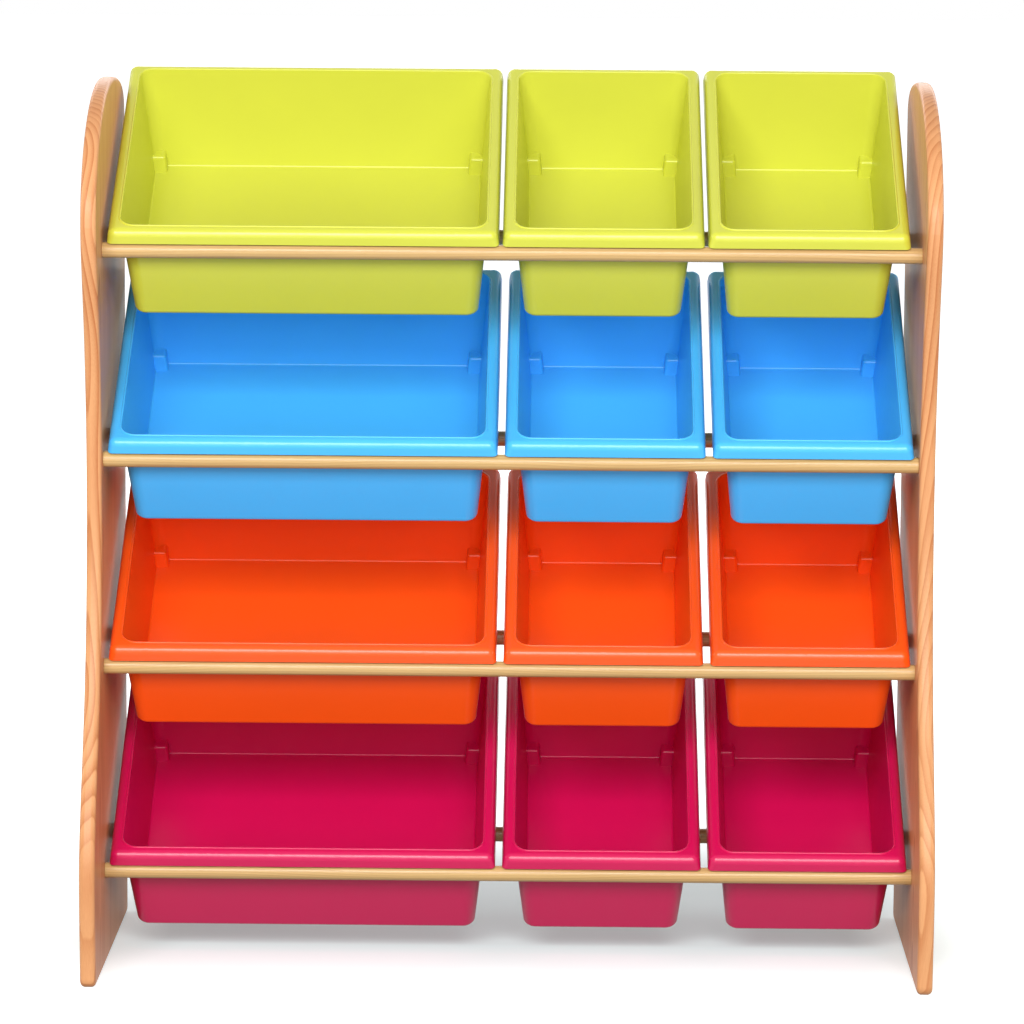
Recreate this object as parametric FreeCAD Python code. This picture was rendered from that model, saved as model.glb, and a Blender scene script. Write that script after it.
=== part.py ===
import FreeCAD, Part
import math
import os

# A children's toy organizer: two waisted timber side panels, four pairs of round
# rails between them, and twelve plastic bins that hang on the rails, tipped forward.
# Millimetres. X runs left to right as a person faces it, the front faces -Y, Z is up.
# The origin is on the floor, midway between the sides, at half of the overall depth.

# Side panels
panel_thickness = 16.0
panel_height = 906.0
panel_edge_round = 5.0
foot_depth = 360.0           # depths are taken forward from the straight back edge
foot_corner_round = 9.0
bulge_depth = 366.0
bulge_height = 105.0
waist_depth = 268.0
waist_height = 495.0
shoulder_depth = 318.0
shoulder_drop = 141.0        # below the top
crown_depth = 115.0          # where the top edge is highest
back_shoulder_drop = 36.0    # where the back edge starts to turn over, below the top
foot_ease = 32.0             # how far each stretch of the front edge stays upright
bulge_lower_ease = 48.0
bulge_upper_ease = 100.0
waist_lower_ease = 233.0
waist_upper_ease = 160.0
shoulder_ease = 48.0
crown_fullness = 0.55        # share of the way the front curve reaches to its corner
crown_back_ease = 84.0
crown_drop_ease = 20.0

# Rails
tier_colours = ("pink", "orange", "blue", "green")
tier_names = ("bottom", "third", "second", "top")
rail_diameter = 16.0
rail_end_chamfer = 0.5
first_rail_height = 99.0
top_rail_drop = 168.0        # the top rails' axes below the panels' top
rail_spacing = 200.0         # front rail axis to back rail axis
front_rail_setback = 250.0   # front rail axis to the panels' back edge

# Bolts through the panels into threaded inserts in the rail ends
bolt_diameter = 6.0
bolt_length = 42.0
bolt_hole_clearance = 0.25
bolt_head_diameter = 13.0
bolt_head_height = 3.6
bolt_head_round = 1.4
bolt_head_recess = 4.4
bolt_socket_width = 4.0
bolt_socket_sides = 6
bolt_socket_depth = 2.2
insert_diameter = 9.0
insert_length = 16.0
insert_fit = 0.05
pilot_margin = 3.0           # bore left past the end of the bolt

# Bins
small_bin_width = 204.0
large_bin_width = 396.0
bin_length = 317.5
bin_height = 116.5
bin_wall = 2.2
bin_draft = 5.5              # degrees, on all four walls
rim_flange = 10.8            # the lip's lower edge to the outside of a wall, level
rim_lip = 14.5
lip_flare = 1.8              # the lip's lower edge stands out from the rim's top by this
lip_corner_round = 5.0
rim_round = 8.0
rim_corner_round = 9.5
bin_corner_round = 17.0
bin_foot_corner_round = 13.0
bin_floor_round = 4.5
bead_radius = 1.1
step_width = 13.5            # stacking steps in the two back corners of the floor
step_height = 19.0
step_round = 3.2

# How the bins stand
side_clearance = 5.0         # left panel to the large bin, right bin to the right panel
bin_gap = 7.0                # between neighbours
seat_clearance = 0.3         # every bin to the rails that carry it
lip_gap = 2.35               # the front lip's edge above the front rail
top_row_nudge = 3.5          # the top row's small bins stand closer together

# Sizes that follow from those above
panel_gap = 2.0 * (side_clearance + small_bin_width + bin_gap) + large_bin_width
shoulder_height = panel_height - shoulder_drop
tier_pitch = (panel_height - top_rail_drop - first_rail_height) / (len(tier_names) - 1)

# Where a bin sits on its rails. In a bin's own frame the rim's top plane is z = 0,
# y runs from its front edge to its back edge, and the floor is below.
rail_radius = rail_diameter / 2.0
rail_reach = rail_radius + seat_clearance
draft_slope = math.tan(math.radians(bin_draft))
rail_depth_in_bin = rim_lip + lip_gap + rail_reach
rail_inset_in_bin = (rim_flange + rail_depth_in_bin * draft_slope
                     - rail_reach / math.cos(math.radians(bin_draft)))
tilt = math.asin((bin_height + rail_reach - rail_depth_in_bin) / rail_spacing)

# The overall depth runs from the panels' front bulge to the lowest bins' back corner
floor_arc_height = bin_height - bin_floor_round
back_wall_at_arc = bin_length - rim_flange - floor_arc_height * draft_slope
floor_arc_inset = bin_floor_round / math.cos(math.radians(bin_draft))
bin_front_reach = (rail_inset_in_bin * math.cos(tilt)
                   + rail_depth_in_bin * math.sin(tilt))
bin_rear = ((back_wall_at_arc - floor_arc_inset) * math.cos(tilt)
            + floor_arc_height * math.sin(tilt) + bin_floor_round - bin_front_reach)
panel_front = bulge_depth - front_rail_setback
front_rail_y = (panel_front - bin_rear) / 2.0
back_rail_y = front_rail_y + rail_spacing
panel_back_y = front_rail_y + front_rail_setback


edge_tolerance = 0.1         # how exactly an edge is picked by where it lies


def vector(x, y, z):
    return FreeCAD.Vector(x, y, z)


def tier_height(tier):
    return first_rail_height + tier * tier_pitch


# Side panels

def panel_point(depth, height):
    return vector(0.0, panel_back_y - depth, height)


def curve(*poles):
    bezier = Part.BezierCurve()
    bezier.setPoles([panel_point(depth, height) for depth, height in poles])
    return bezier.toShape()


def straight(start, end):
    return Part.makeLine(panel_point(*start), panel_point(*end))


def corner(start, middle, end):
    arc = Part.Arc(panel_point(*start), panel_point(*middle), panel_point(*end))
    return arc.toShape()


def panel_outline():
    toe = foot_corner_round
    toe_inset = toe * (1.0 - math.sqrt(0.5))
    back_turn = panel_height - back_shoulder_drop
    front_of_foot = (foot_depth, toe)
    edges = [
        straight((toe, 0.0), (foot_depth - toe, 0.0)),
        corner((foot_depth - toe, 0.0), (foot_depth - toe_inset, toe_inset), front_of_foot),
        curve(front_of_foot, (foot_depth, toe + foot_ease),
              (bulge_depth, bulge_height - bulge_lower_ease), (bulge_depth, bulge_height)),
        curve((bulge_depth, bulge_height), (bulge_depth, bulge_height + bulge_upper_ease),
              (waist_depth, waist_height - waist_lower_ease), (waist_depth, waist_height)),
        curve((waist_depth, waist_height), (waist_depth, waist_height + waist_upper_ease),
              (shoulder_depth, shoulder_height - shoulder_ease),
              (shoulder_depth, shoulder_height)),
        curve((shoulder_depth, shoulder_height),
              (shoulder_depth, shoulder_height + crown_fullness * shoulder_drop),
              (crown_depth + crown_fullness * (shoulder_depth - crown_depth), panel_height),
              (crown_depth, panel_height)),
        curve((crown_depth, panel_height), (crown_depth - crown_back_ease, panel_height),
              (0.0, back_turn + crown_drop_ease), (0.0, back_turn)),
        straight((0.0, back_turn), (0.0, toe)),
        corner((0.0, toe), (toe_inset, toe_inset), (toe, 0.0)),
    ]
    return Part.Wire(edges)


def rail_positions():
    places = []
    for tier in range(len(tier_names)):
        places.append((front_rail_y, tier_height(tier)))
        places.append((back_rail_y, tier_height(tier)))
    return places


def cylinder_along_x(radius, start_x, end_x, y, z):
    length = end_x - start_x
    direction = vector(math.copysign(1.0, length), 0.0, 0.0)
    return Part.makeCylinder(radius, abs(length), vector(start_x, y, z), direction)


def side_panel(side):
    """side is -1 for the left panel and +1 for the right one."""
    inner_x = side * panel_gap / 2.0
    outer_x = inner_x + side * panel_thickness
    face = Part.Face(panel_outline())
    board = face.extrude(vector(side * panel_thickness, 0.0, 0.0))
    board.translate(vector(inner_x, 0.0, 0.0))
    rim_edges = [edge for edge in board.Edges
                 if edge.BoundBox.XLength < edge_tolerance]
    board = board.makeFillet(panel_edge_round, rim_edges)
    hole_radius = bolt_diameter / 2.0 + bolt_hole_clearance
    head_radius = bolt_head_diameter / 2.0 + bolt_hole_clearance
    for y, z in rail_positions():
        hole = cylinder_along_x(hole_radius, inner_x - side, outer_x + side, y, z)
        seat = cylinder_along_x(head_radius, outer_x - side * bolt_head_recess,
                                outer_x + side, y, z)
        board = board.cut(hole.fuse(seat))
    return board.removeSplitter()


# Rails, bolts and inserts

def bolt_reach():
    """How far a bolt reaches into the end of a rail."""
    return bolt_length - (panel_thickness - bolt_head_recess)


def rail(y, z):
    half = panel_gap / 2.0
    rod = cylinder_along_x(rail_radius, -half, half, y, z)
    end_edges = [edge for edge in rod.Edges if edge.BoundBox.XLength < edge_tolerance]
    rod = rod.makeChamfer(rail_end_chamfer, end_edges)
    for side in (-1, 1):
        mouth = side * half
        socket = cylinder_along_x(insert_diameter / 2.0 + insert_fit, mouth,
                                  mouth - side * insert_length, y, z)
        pilot_end = mouth - side * (bolt_reach() + pilot_margin)
        pilot = cylinder_along_x(bolt_diameter / 2.0 + bolt_hole_clearance, mouth,
                                 pilot_end, y, z)
        rod = rod.cut(socket.fuse(pilot))
    return rod


def rail_bolt(side, y, z):
    seat_x = side * (panel_gap / 2.0 + panel_thickness - bolt_head_recess)
    shank = cylinder_along_x(bolt_diameter / 2.0, seat_x, seat_x - side * bolt_length, y, z)
    top_x = seat_x + side * bolt_head_height
    head = cylinder_along_x(bolt_head_diameter / 2.0, seat_x, top_x, y, z)
    crown = [edge for edge in head.Edges if edge.BoundBox.XLength < edge_tolerance
             and abs(edge.BoundBox.XMin - top_x) < edge_tolerance]
    head = head.makeFillet(bolt_head_round, crown)
    half_turn = math.pi / bolt_socket_sides
    reach = bolt_socket_width / 2.0 / math.cos(half_turn)
    corners = []
    for side_number in range(bolt_socket_sides + 1):
        angle = 2.0 * half_turn * side_number
        corners.append(vector(top_x, y + reach * math.cos(angle), z + reach * math.sin(angle)))
    socket = Part.Face(Part.makePolygon(corners))
    socket = socket.extrude(vector(-side * bolt_socket_depth, 0.0, 0.0))
    return shank.fuse(head).removeSplitter().cut(socket)


def rail_insert(side, y, z):
    mouth = side * panel_gap / 2.0
    end = mouth - side * insert_length
    barrel = cylinder_along_x(insert_diameter / 2.0, mouth, end, y, z)
    bore = cylinder_along_x(bolt_diameter / 2.0 + insert_fit, mouth + side, end - side, y, z)
    return barrel.cut(bore)


# Bins

def rounded_rectangle(half_width, front, back, radius, z):
    """A closed wire with four round corners, level at height z."""
    turn = radius * math.sqrt(0.5)
    edges = []
    corners = ((1, 1), (-1, 1), (-1, -1), (1, -1))
    ends = []
    for x_sign, y_sign in corners:
        centre_x = x_sign * (half_width - radius)
        centre_y = (back - radius) if y_sign > 0 else (front + radius)
        on_side = vector(centre_x + x_sign * radius, centre_y, z)
        on_end = vector(centre_x, centre_y + y_sign * radius, z)
        middle = vector(centre_x + x_sign * turn, centre_y + y_sign * turn, z)
        first, last = (on_side, on_end) if x_sign == y_sign else (on_end, on_side)
        ends.append((first, middle, last))
    for index, (first, middle, last) in enumerate(ends):
        edges.append(Part.Arc(first, middle, last).toShape())
        edges.append(Part.makeLine(last, ends[(index + 1) % 4][0]))
    return Part.Wire(edges)


def outline(width, inset, radius, z):
    """A bin's outline at height z in its own frame, drawn in by inset."""
    return rounded_rectangle(width / 2.0 - inset, inset, bin_length - inset, radius, z)


def tub(width, skin, depth, floor_round):
    """The tapered tub, drawn in by skin on its walls, with a rounded floor."""
    top_inset = rim_flange + skin
    foot_inset = top_inset + depth * draft_slope
    top = outline(width, top_inset, bin_corner_round - skin, 0.0)
    foot = outline(width, foot_inset, bin_foot_corner_round - skin, -depth)
    body = Part.makeLoft([top, foot], True, True)
    floor_edges = [edge for edge in body.Edges if edge.BoundBox.ZMax < -depth + edge_tolerance]
    return body.makeFillet(floor_round, floor_edges)


def rim_block(width, skin):
    """The rim as one block, drawn in by skin, flaring towards its lower edge."""
    inset = lip_flare * (1.0 - skin / rim_lip) + skin
    lower = outline(width, skin, lip_corner_round - skin, -rim_lip)
    upper = outline(width, inset, rim_corner_round - skin, -skin)
    block = Part.makeLoft([lower, upper], True, True)
    crown = [edge for edge in block.Edges if edge.BoundBox.ZMin > -skin - edge_tolerance]
    return block.makeFillet(rim_round - skin, crown)


def rim(width):
    """The flange round the opening, rolled over into a lip."""
    return rim_block(width, 0.0).cut(rim_block(width, bin_wall))


def bead(width):
    """The fine raised line round the opening."""
    offset = bin_wall - bead_radius
    wire = outline(width, rim_flange + offset, bin_corner_round - offset, 0.0)
    start = wire.Edges[1]
    origin = start.valueAt(start.FirstParameter)
    along = start.tangentAt(start.FirstParameter)
    section = Part.Wire([Part.makeCircle(bead_radius, origin, along)])
    path_edges = wire.Edges[1:] + wire.Edges[:1]
    return Part.Wire(path_edges).makePipeShell([section], True, False)


def corner_steps(width, skin):
    """Tapered blocks in the floor's two back corners, drawn in by skin."""
    floor = bin_wall - bin_height
    inset = rim_flange + bin_wall - floor * draft_slope + step_width - skin
    size = 2.0 * step_width
    top = floor + step_height - skin
    wires = []
    for z in (top - size, top):
        x = width / 2.0 - inset + (z - floor) * draft_slope
        y = bin_length - inset + (z - floor) * draft_slope
        nearest = vector(x, y, z)
        wires.append(Part.makePolygon([nearest, vector(x + size, y, z),
                                       vector(x + size, y + size, z),
                                       vector(x, y + size, z), nearest]))
    block = Part.makeLoft(wires, True, True)
    edges = [edge for edge in block.Edges
             if min(vertex.Point.distanceToPoint(nearest) for vertex in edge.Vertexes)
             < edge_tolerance]
    block = block.makeFillet(step_round - skin, edges)
    twin = block.mirror(vector(0.0, 0.0, 0.0), vector(1.0, 0.0, 0.0))
    return [block, twin]


def toy_bin(width):
    """One bin in its own frame."""
    outer = tub(width, 0.0, bin_height, bin_floor_round)
    outer = outer.cut(corner_steps(width, bin_wall))
    inner = tub(width, bin_wall, bin_height - bin_wall, bin_floor_round - bin_wall)
    inner = inner.cut(corner_steps(width, 0.0))
    shell = outer.fuse([rim(width), bead(width)]).cut(inner)
    return shell.removeSplitter()


def seated(shape, x, tier):
    """Puts a bin, made in its own frame, on the rails of a tier."""
    placed = shape.copy()
    placed.translate(vector(0.0, -rail_inset_in_bin, rail_depth_in_bin))
    placed.rotate(vector(0.0, 0.0, 0.0), vector(1.0, 0.0, 0.0), math.degrees(tilt))
    placed.translate(vector(x, front_rail_y, tier_height(tier)))
    return placed


def bin_centres(tier):
    """X of the large, middle and right bins."""
    left = -panel_gap / 2.0 + side_clearance
    large = left + large_bin_width / 2.0
    middle = left + large_bin_width + bin_gap + small_bin_width / 2.0
    right = middle + small_bin_width + bin_gap
    if tier == len(tier_names) - 1:
        return large, middle - top_row_nudge, right - 2.0 * top_row_nudge
    return large, middle, right


# Everything

def single_solid(name, shape):
    solids = shape.Solids
    if len(solids) != 1 or not shape.isValid():
        raise ValueError(name + " is not one valid solid")
    return solids[0]


def save(name, shape):
    shape.exportStep("parts/" + name + ".step")


def main():
    os.makedirs("parts", exist_ok=True)
    save("side_panel_left", single_solid("left panel", side_panel(-1)))
    save("side_panel_right", single_solid("right panel", side_panel(1)))
    for tier, name in enumerate(tier_names):
        z = tier_height(tier)
        save("front_rail_" + name, single_solid("front rail", rail(front_rail_y, z)))
        save("back_rail_" + name, single_solid("back rail", rail(back_rail_y, z)))
    for side, name in ((-1, "left"), (1, "right")):
        bolts = [rail_bolt(side, y, z) for y, z in rail_positions()]
        save("rail_bolts_" + name, Part.makeCompound(bolts))
        inserts = [rail_insert(side, y, z) for y, z in rail_positions()]
        save("rail_inserts_" + name, Part.makeCompound(inserts))
    large = single_solid("large bin", toy_bin(large_bin_width))
    small = single_solid("small bin", toy_bin(small_bin_width))
    for tier, colour in enumerate(tier_colours):
        large_x, middle_x, right_x = bin_centres(tier)
        save("bin_" + colour + "_large", seated(large, large_x, tier))
        save("bin_" + colour + "_middle", seated(small, middle_x, tier))
        save("bin_" + colour + "_right", seated(small, right_x, tier))
    print("tilt %.3f degrees, front rail y %.3f, back rail y %.3f"
          % (math.degrees(tilt), front_rail_y, back_rail_y))
    print("clear width %.3f, overall depth %.3f" % (panel_gap, panel_front + bin_rear))


main()
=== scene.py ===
import math

import bmesh
import bpy
from mathutils import Matrix, Vector


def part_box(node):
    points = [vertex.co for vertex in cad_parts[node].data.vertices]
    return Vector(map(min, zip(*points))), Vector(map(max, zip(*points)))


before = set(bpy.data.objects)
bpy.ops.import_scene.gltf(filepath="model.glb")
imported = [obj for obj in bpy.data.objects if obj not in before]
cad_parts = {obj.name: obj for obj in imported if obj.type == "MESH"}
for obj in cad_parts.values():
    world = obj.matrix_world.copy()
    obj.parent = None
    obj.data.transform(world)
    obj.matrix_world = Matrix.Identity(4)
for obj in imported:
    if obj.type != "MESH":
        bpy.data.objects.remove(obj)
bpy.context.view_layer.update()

tierNames = ["bottom", "third", "second", "top"]
tierColours = ["pink", "orange", "blue", "green"]  # from the floor up
binPlaces = ["large", "middle", "right"]
noiseSpan = (0.3, 0.7)  # where most values of a noise texture lie
plainWhite = (1.0, 1.0, 1.0, 1.0)
print("frame loaded,", len(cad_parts), "nodes")


# Shader tree helpers

def addNode(tree, kind, inputs=None, **settings):
    made = tree.nodes.new(kind)
    for name, value in settings.items():
        setattr(made, name, value)
    for socket, value in (inputs or {}).items():
        if isinstance(value, bpy.types.NodeSocket):
            tree.links.new(value, made.inputs[socket])
        else:
            made.inputs[socket].default_value = value
    return made


def calc(tree, operation, first, second=0.0, third=0.0):
    return addNode(tree, "ShaderNodeMath", {0: first, 1: second, 2: third},
                   operation=operation).outputs[0]


def vectorCalc(tree, operation, first, second=(0.0, 0.0, 0.0)):
    return addNode(tree, "ShaderNodeVectorMath", {0: first, 1: second},
                   operation=operation).outputs[0]


def vectorLength(tree, vector):
    return addNode(tree, "ShaderNodeVectorMath", {0: vector}, operation="LENGTH").outputs[1]


def scaleVector(tree, vector, amount):
    return addNode(tree, "ShaderNodeVectorMath", {0: vector, "Scale": amount},
                   operation="SCALE").outputs[0]


def noise(tree, place, scale, detail=2.0, output=0):
    return addNode(tree, "ShaderNodeTexNoise",
                   {"Vector": place, "Scale": scale, "Detail": detail}).outputs[output]


def stretchedNoise(tree, place, stretch, detail=2.0, output=0):
    return noise(tree, vectorCalc(tree, "MULTIPLY", place, stretch), 1.0, detail, output)


def remap(tree, value, fromLow, fromHigh, toLow, toHigh):
    return addNode(tree, "ShaderNodeMapRange",
                   {"Value": value, "From Min": fromLow, "From Max": fromHigh,
                    "To Min": toLow, "To Max": toHigh}).outputs[0]


def mixColours(tree, share, first, second):
    made = addNode(tree, "ShaderNodeMix", {"Factor": share}, data_type="RGBA")
    for socket, value in ((made.inputs[6], first), (made.inputs[7], second)):
        if isinstance(value, bpy.types.NodeSocket):
            tree.links.new(value, socket)
        else:
            socket.default_value = (*value, 1.0)
    return made.outputs[2]


def startGroup(name, inputs, outputs):
    group = bpy.data.node_groups.new(name, "ShaderNodeTree")
    for label, kind, value in inputs:
        group.interface.new_socket(label, in_out="INPUT", socket_type=kind).default_value = value
    for label, kind in outputs:
        group.interface.new_socket(label, in_out="OUTPUT", socket_type=kind)
    given = group.nodes.new("NodeGroupInput").outputs
    return group, given, group.nodes.new("NodeGroupOutput").inputs


def startMaterial(name):
    material = bpy.data.materials.new(name)
    material.use_nodes = True
    tree = material.node_tree
    tree.nodes.clear()
    shader = tree.nodes.new("ShaderNodeBsdfPrincipled")
    output = tree.nodes.new("ShaderNodeOutputMaterial")
    tree.links.new(shader.outputs[0], output.inputs["Surface"])
    return material, tree, shader


def setMaterial(node, material):
    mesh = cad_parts[node].data
    mesh.materials.clear()
    mesh.materials.append(material)


# Moulded plastic of the bins

plasticLooks = {
    "green": (0.60, 0.62, 0.058),
    "blue": (0.066, 0.470, 0.980),
    "orange": (0.970, 0.095, 0.007),
    "pink": (0.590, 0.004, 0.085),
    "gloss": 0.27,  # roughness of the clean plastic
    "ior": 1.43,
    "cloudiness": 0.010, "cloudScale": 14.0,  # faint unevenness of the colour
    "scuffing": 0.12, "scuffScale": 60.0,  # duller patches where things rub
    "scuffFrom": 0.52, "scuffTo": 0.70, "scuffRoughness": 0.16,
    "peelScale": 420.0, "peelRoughness": 0.04, "peelHeight": 0.015,  # fine skin of the mould
    "waveScale": 9.0, "sinkDepth": 0.0004,  # soft waviness of moulded walls, in metres
    "bumpStrength": 0.08,
}


def mouldedSkinGroup():
    looks = plasticLooks
    group, given, out = startGroup(
        "Moulded Skin",
        [("Colour", "NodeSocketColor", (0.5, 0.5, 0.5, 1.0)),
         ("Gloss Roughness", "NodeSocketFloat", 0.25),
         ("Cloudiness", "NodeSocketFloat", 0.015),
         ("Scuffing", "NodeSocketFloat", 0.25)],
        [("Colour", "NodeSocketColor"), ("Roughness", "NodeSocketFloat"),
         ("Height", "NodeSocketFloat")])
    place = addNode(group, "ShaderNodeTexCoord").outputs["Object"]
    cloud = noise(group, place, looks["cloudScale"], detail=3.0)
    wave = noise(group, place, looks["waveScale"], detail=1.0)
    peel = noise(group, place, looks["peelScale"])
    rubbed = noise(group, place, looks["scuffScale"], detail=4.0)
    rubbed = remap(group, rubbed, looks["scuffFrom"], looks["scuffTo"], 0.0, 1.0)
    shade = calc(group, "MULTIPLY_ADD", remap(group, cloud, *noiseSpan, -1.0, 1.0),
                 given["Cloudiness"], 1.0)
    group.links.new(scaleVector(group, given["Colour"], shade), out["Colour"])
    rough = calc(group, "MULTIPLY_ADD", calc(group, "MULTIPLY", rubbed, given["Scuffing"]),
                 looks["scuffRoughness"], given["Gloss Roughness"])
    rough = calc(group, "MULTIPLY_ADD", peel, looks["peelRoughness"], rough)
    group.links.new(rough, out["Roughness"])
    group.links.new(calc(group, "MULTIPLY_ADD", peel, looks["peelHeight"], wave), out["Height"])
    return group


mouldedSkin = mouldedSkinGroup()


def plastic(shade):
    material, tree, shader = startMaterial(shade + "Polypropylene")
    skin = addNode(tree, "ShaderNodeGroup", node_tree=mouldedSkin)
    skin.inputs["Colour"].default_value = (*plasticLooks[shade], 1.0)
    skin.inputs["Gloss Roughness"].default_value = plasticLooks["gloss"]
    skin.inputs["Cloudiness"].default_value = plasticLooks["cloudiness"]
    skin.inputs["Scuffing"].default_value = plasticLooks["scuffing"]
    bump = addNode(tree, "ShaderNodeBump", {"Height": skin.outputs["Height"],
                                            "Strength": plasticLooks["bumpStrength"],
                                            "Distance": plasticLooks["sinkDepth"]})
    tree.links.new(skin.outputs["Colour"], shader.inputs["Base Color"])
    tree.links.new(skin.outputs["Roughness"], shader.inputs["Roughness"])
    tree.links.new(bump.outputs[0], shader.inputs["Normal"])
    shader.inputs["IOR"].default_value = plasticLooks["ior"]
    return material


for shade in tierColours:
    skin = plastic(shade)
    for place in binPlaces:
        setMaterial("bin_%s_%s" % (shade, place), skin)
print("bins in their four colours")


# Growth rings, shared by the panels and rails

ringLooks = {
    "swayStretch": (8.0, 8.0, 2.2), "swayReach": 0.028,  # how far the rings wander, in metres
    "darkening": 2.2, "lateEdge": 0.90,  # a ring darkens slowly, then ends sharply
    "yearScale": 3.7, "weakYear": 0.45,  # some years leave fainter rings
    "lateShare": 0.95,
    "fibreStretch": (1500.0, 1500.0, 45.0), "fibreSpan": (0.35, 0.75), "fibreTint": (-0.05, 0.13),
    "warmthStretch": (26.0, 26.0, 4.0), "warmthSpan": (0.35, 0.65), "warmthTint": (0.0, 0.20),
    "fibreHeight": -0.6, "lateHeight": 0.4,
}


def growthRingGroup():
    looks = ringLooks
    group, given, out = startGroup(
        "Growth Rings",
        [("Place", "NodeSocketVector", (0.0, 0.0, 0.0)),
         ("Early Wood", "NodeSocketColor", (0.9, 0.6, 0.35, 1.0)),
         ("Late Wood", "NodeSocketColor", (0.6, 0.3, 0.15, 1.0)),
         ("Ring Width", "NodeSocketFloat", 0.005)],
        [("Colour", "NodeSocketColor"), ("Height", "NodeSocketFloat")])
    place = given["Place"]
    # the pith runs along Z of the place that is given
    sway = stretchedNoise(group, place, looks["swayStretch"], output=1)
    sway = vectorCalc(group, "SUBTRACT", sway, (0.5, 0.5, 0.5))
    sway = scaleVector(group, sway, looks["swayReach"])
    across = vectorCalc(group, "ADD", place, sway)
    across = vectorCalc(group, "MULTIPLY", across, (1.0, 1.0, 0.0))
    year = calc(group, "DIVIDE", vectorLength(group, across), given["Ring Width"])
    phase = calc(group, "FRACT", year)
    dense = calc(group, "MULTIPLY", calc(group, "POWER", phase, looks["darkening"]),
                 remap(group, phase, looks["lateEdge"], 1.0, 1.0, 0.0))
    count = addNode(group, "ShaderNodeCombineXYZ", {"X": calc(group, "FLOOR", year)}).outputs[0]
    yearly = noise(group, count, looks["yearScale"], detail=0.0)
    dense = calc(group, "MULTIPLY", dense,
                 remap(group, yearly, *noiseSpan, looks["weakYear"], 1.0))
    fibres = stretchedNoise(group, place, looks["fibreStretch"], detail=3.0)
    warmth = stretchedNoise(group, place, looks["warmthStretch"])
    share = calc(group, "MULTIPLY", dense, looks["lateShare"])
    share = calc(group, "ADD", share,
                 remap(group, fibres, *looks["fibreSpan"], *looks["fibreTint"]))
    share = calc(group, "ADD", share,
                 remap(group, warmth, *looks["warmthSpan"], *looks["warmthTint"]))
    colour = mixColours(group, share, given["Early Wood"], given["Late Wood"])
    height = calc(group, "MULTIPLY_ADD", fibres, looks["fibreHeight"],
                  calc(group, "MULTIPLY", dense, looks["lateHeight"]))
    group.links.new(colour, out["Colour"])
    group.links.new(height, out["Height"])
    return group


growthRings = growthRingGroup()


# Timber of the panels and rails

timberLooks = {
    "panel": {"pale": (0.71, 0.345, 0.152), "late": (0.44, 0.130, 0.036),
              "ringWidth": 0.0065, "coat": 0.15, "coatRoughness": 0.24},
    "rail": {"pale": (0.62, 0.405, 0.165), "late": (0.43, 0.240, 0.085),
             "ringWidth": 0.0030, "coat": 0.35, "coatRoughness": 0.16},
    "roughness": 0.5, "specular": 0.12,  # of the wood under its lacquer
    "bumpStrength": 0.10, "bumpDepth": 0.0003,
    # where a panel's pith is: metres right of the board's middle and behind its front edge
    "panelPith": {"left": (-0.010, 0.060), "right": (0.030, 0.075)},
    "panelLean": {"left": (1.5, 2.0), "right": (-2.5, -6.0)},  # degrees about X and Y
    "railPith": (0.004, 0.003),  # a rail's pith is well outside it, so its grain runs straight
    "railTurn": (0.0, 90.0),
}


def timber(name, kind, shift, turn):
    looks = timberLooks[kind]
    material, tree, shader = startMaterial(name)
    place = addNode(tree, "ShaderNodeTexCoord").outputs["Object"]
    turnX, turnY = [math.radians(angle) for angle in turn]
    centred = addNode(tree, "ShaderNodeMapping",
                      {"Vector": place, "Location": shift, "Rotation": (turnX, turnY, 0.0)},
                      vector_type="POINT").outputs[0]
    rings = addNode(tree, "ShaderNodeGroup", {"Place": centred}, node_tree=growthRings)
    rings.inputs["Early Wood"].default_value = (*looks["pale"], 1.0)
    rings.inputs["Late Wood"].default_value = (*looks["late"], 1.0)
    rings.inputs["Ring Width"].default_value = looks["ringWidth"]
    bump = addNode(tree, "ShaderNodeBump", {"Height": rings.outputs["Height"],
                                            "Strength": timberLooks["bumpStrength"],
                                            "Distance": timberLooks["bumpDepth"]})
    tree.links.new(rings.outputs["Colour"], shader.inputs["Base Color"])
    tree.links.new(bump.outputs[0], shader.inputs["Normal"])
    shader.inputs["Roughness"].default_value = timberLooks["roughness"]
    shader.inputs["Specular IOR Level"].default_value = timberLooks["specular"]
    shader.inputs["Coat Weight"].default_value = looks["coat"]
    shader.inputs["Coat Roughness"].default_value = looks["coatRoughness"]
    return material


for side in ("left", "right"):
    low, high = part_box("side_panel_" + side)
    aside, behind = timberLooks["panelPith"][side]
    shift = (-(low.x + high.x) / 2 - aside, -low.y - behind, -(low.z + high.z) / 2)
    setMaterial("side_panel_" + side,
                timber(side + "PanelPine", "panel", shift, timberLooks["panelLean"][side]))
for tier in tierNames:
    for row in ("front", "back"):
        rail = "%s_rail_%s" % (row, tier)
        low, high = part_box(rail)
        under, behind = timberLooks["railPith"]
        shift = (low.z - under, -(low.y + high.y) / 2 - behind, 0.0)
        setMaterial(rail, timber("%sRailBeech%s" % (row, tier.title()), "rail", shift,
                                 timberLooks["railTurn"]))
print("panels and rails in lacquered timber")


# Bolts and threaded inserts

metalLooks = {
    "zinc": {"base": (0.72, 0.74, 0.76), "roughness": 0.28},
    "brass": {"base": (0.80, 0.58, 0.28), "roughness": 0.30},
    "mottleScale": 900.0, "mottleSpan": (0.2, 0.8),
    "dullShare": 0.8,  # brightness of the dull patches
    "roughnessSpread": (0.7, 1.4),  # times the metal's own roughness
}


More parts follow.
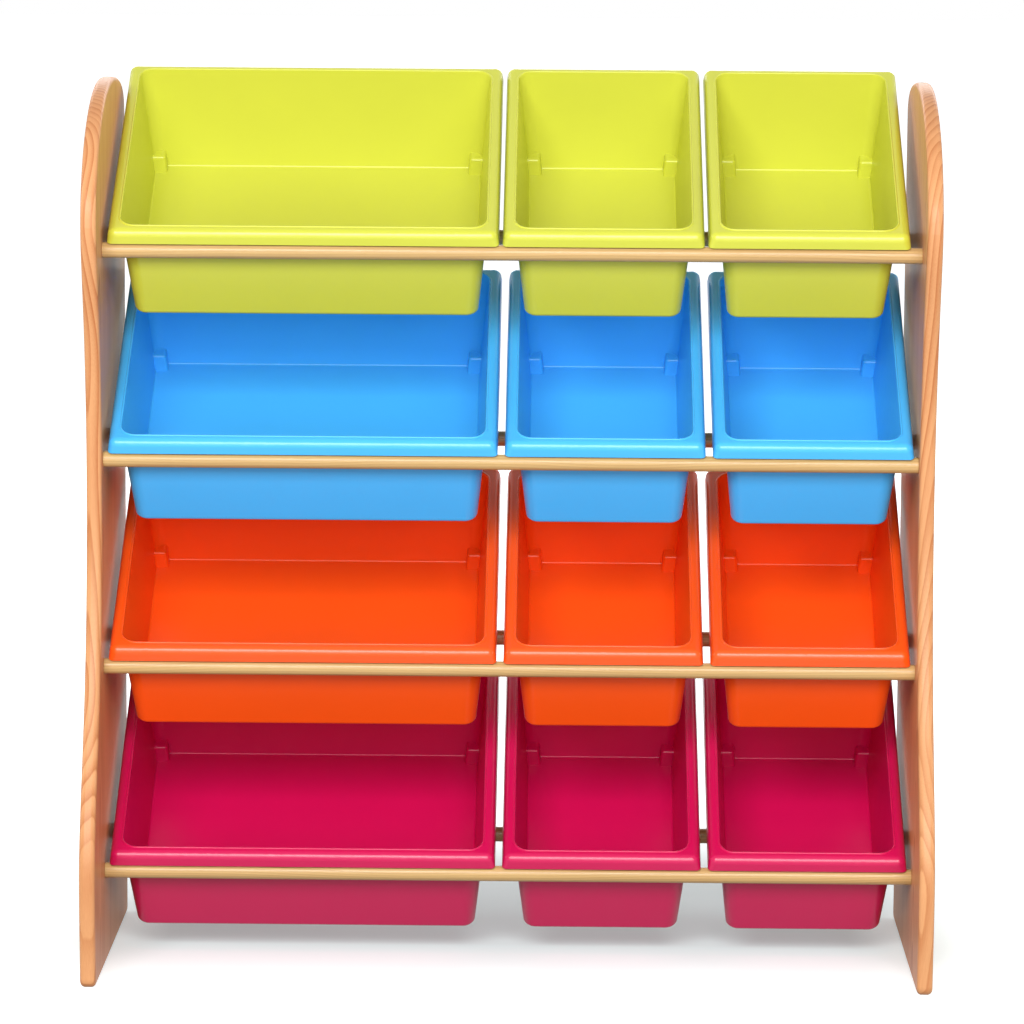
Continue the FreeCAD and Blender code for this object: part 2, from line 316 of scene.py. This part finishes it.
def metal(kind):
    looks = metalLooks[kind]
    material, tree, shader = startMaterial(kind + "Metal")
    place = addNode(tree, "ShaderNodeTexCoord").outputs["Object"]
    mottle = noise(tree, place, metalLooks["mottleScale"], detail=4.0)
    dull = [metalLooks["dullShare"] * part for part in looks["base"]]
    smooth, rough = [share * looks["roughness"] for share in metalLooks["roughnessSpread"]]
    tree.links.new(mixColours(tree, mottle, dull, looks["base"]), shader.inputs["Base Color"])
    tree.links.new(remap(tree, mottle, *metalLooks["mottleSpan"], smooth, rough),
                   shader.inputs["Roughness"])
    shader.inputs["Metallic"].default_value = 1.0
    return material


zinc = metal("zinc")
brass = metal("brass")
for side in ("left", "right"):
    setMaterial("rail_bolts_" + side, zinc)
    setMaterial("rail_inserts_" + side, brass)
print("bolts and inserts")


# Studio floor, world, lamps and camera

studio = {
    "floorSize": 60.0,
    "floorBounce": 0.22,  # the paper's grey where it lights the object
    "floorSeen": (0.71, 0.82, 0.82),  # its colour where the camera or a reflection sees it; its cyan tint is painted to cancel the pink light the bins cast on it
    "floorLift": 0.14,  # plain white that is added there
    "paintedShadeMiddle": (0.0, 0.20, 0.0),  # middle and half sizes of the oblong under the object where the added white stays low: painted shade that keeps the floor's shadow only there
    "paintedShadeReach": (0.36, 0.18, 0.0),
    "whiteFade": 0.30,  # metres from that oblong to plain white
    "paperRoughness": 0.9, "paperSpecular": 0.1,
    "worldLevel": 0.15,  # what lights the object; seen directly the world is plain white
}


def seenDirectly(tree):
    path = addNode(tree, "ShaderNodeLightPath").outputs
    mirrored = calc(tree, "MAXIMUM", path["Is Glossy Ray"], path["Is Transmission Ray"])
    return calc(tree, "MAXIMUM", path["Is Camera Ray"], mirrored)


def buildFloor():
    mesh = bpy.data.meshes.new("studioFloor")
    sheet = bmesh.new()
    bmesh.ops.create_grid(sheet, x_segments=1, y_segments=1, size=studio["floorSize"] / 2)
    sheet.to_mesh(mesh)
    sheet.free()
    floor = bpy.data.objects.new("studioFloor", mesh)
    bpy.context.scene.collection.objects.link(floor)
    material, tree, shader = startMaterial("studioPaper")
    seen = seenDirectly(tree)
    paper = mixColours(tree, seen, [studio["floorBounce"]] * 3, studio["floorSeen"])
    tree.links.new(paper, shader.inputs["Base Color"])
    shader.inputs["Roughness"].default_value = studio["paperRoughness"]
    shader.inputs["Specular IOR Level"].default_value = studio["paperSpecular"]
    shader.inputs["Emission Color"].default_value = plainWhite
    place = addNode(tree, "ShaderNodeTexCoord").outputs["Object"]
    # painted shade: the added white stays low in the oblong under the object, where its shadow
    # falls, and rises to plain white around it, which paints the shadow out there
    offset = vectorCalc(tree, "SUBTRACT", place, studio["paintedShadeMiddle"])
    offset = vectorCalc(tree, "ABSOLUTE", offset)
    beyond = vectorCalc(tree, "SUBTRACT", offset, studio["paintedShadeReach"])
    beyond = vectorCalc(tree, "MAXIMUM", beyond)
    lift = remap(tree, vectorLength(tree, beyond), 0.0, studio["whiteFade"],
                 studio["floorLift"], 1.0)
    tree.links.new(calc(tree, "MULTIPLY", seen, lift), shader.inputs["Emission Strength"])
    mesh.materials.append(material)


def buildWorld():
    world = bpy.data.worlds.new("studio")
    bpy.context.scene.world = world
    world.use_nodes = True
    tree = world.node_tree
    tree.nodes.clear()
    strength = remap(tree, seenDirectly(tree), 0.0, 1.0, studio["worldLevel"], 1.0)
    background = addNode(tree, "ShaderNodeBackground",
                         {"Color": plainWhite, "Strength": strength})
    output = tree.nodes.new("ShaderNodeOutputWorld")
    tree.links.new(background.outputs[0], output.inputs[0])


lamps = {
    "topStrip": {"place": (0.0, 1.0, 3.2), "aim": (0.0, 0.1, 0.6),
                 "size": (3.4, 0.5), "power": 2.5},
    "frontKey": {"place": (-0.3, -4.3, 2.4), "aim": (0.0, 0.0, 0.5),
                 "size": (3.0, 1.2), "power": 200.0},
    "lowFill": {"place": (0.3, -4.6, 1.2), "aim": (0.0, 0.0, 0.45),
                "size": (3.4, 1.4), "power": 95.0},
    "rearFill": {"place": (0.0, 4.4, 2.4), "aim": (0.0, 0.0, 0.5),
                 "size": (5.0, 1.6), "power": 95.0},
    "leftFill": {"place": (-4.6, 0.3, 1.8), "aim": (0.0, 0.0, 0.5),
                 "size": (3.0, 1.6), "power": 85.0},
    "rightFill": {"place": (4.6, 0.3, 1.8), "aim": (0.0, 0.0, 0.5),
                  "size": (3.0, 1.6), "power": 75.0},
}


def addLamp(name):
    spec = lamps[name]
    light = bpy.data.lights.new(name, "AREA")
    light.shape = "RECTANGLE"
    light.size, light.size_y = spec["size"]
    light.energy = spec["power"]
    lamp = bpy.data.objects.new(name, light)
    bpy.context.scene.collection.objects.link(lamp)
    lamp.location = spec["place"]
    direction = Vector(spec["aim"]) - Vector(spec["place"])
    lamp.rotation_euler = direction.to_track_quat("-Z", "Y").to_euler()


cameraSetup = {
    "right": 0.0533, "height": 1.1291,  # metres from the middle and from the floor
    "distance": 4.8,  # metres in front of the top front rail
    "turn": 0.615, "dip": -7.771, "lean": -0.393,  # degrees
    "lens": 167.45, "sensor": 36.0, "farthest": 100.0,
}


def buildCamera():
    data = bpy.data.cameras.new("photoCamera")
    data.lens = cameraSetup["lens"]
    data.sensor_width = cameraSetup["sensor"]
    data.clip_end = cameraSetup["farthest"]
    camera = bpy.data.objects.new("photoCamera", data)
    bpy.context.scene.collection.objects.link(camera)
    low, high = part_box("front_rail_top")
    place = Vector((cameraSetup["right"], (low.y + high.y) / 2 - cameraSetup["distance"],
                    cameraSetup["height"]))
    turn, dip, lean = [Matrix.Rotation(math.radians(cameraSetup[name]), 4, axis)
                       for name, axis in (("turn", "Z"), ("dip", "X"), ("lean", "Y"))]
    upright = Matrix.Rotation(math.radians(90), 4, "X")
    camera.matrix_world = Matrix.Translation(place) @ turn @ dip @ lean @ upright
    bpy.context.scene.camera = camera


buildFloor()
buildWorld()
for name in lamps:
    addLamp(name)
buildCamera()
bpy.context.scene.view_settings.view_transform = "Standard"
print("studio and camera")
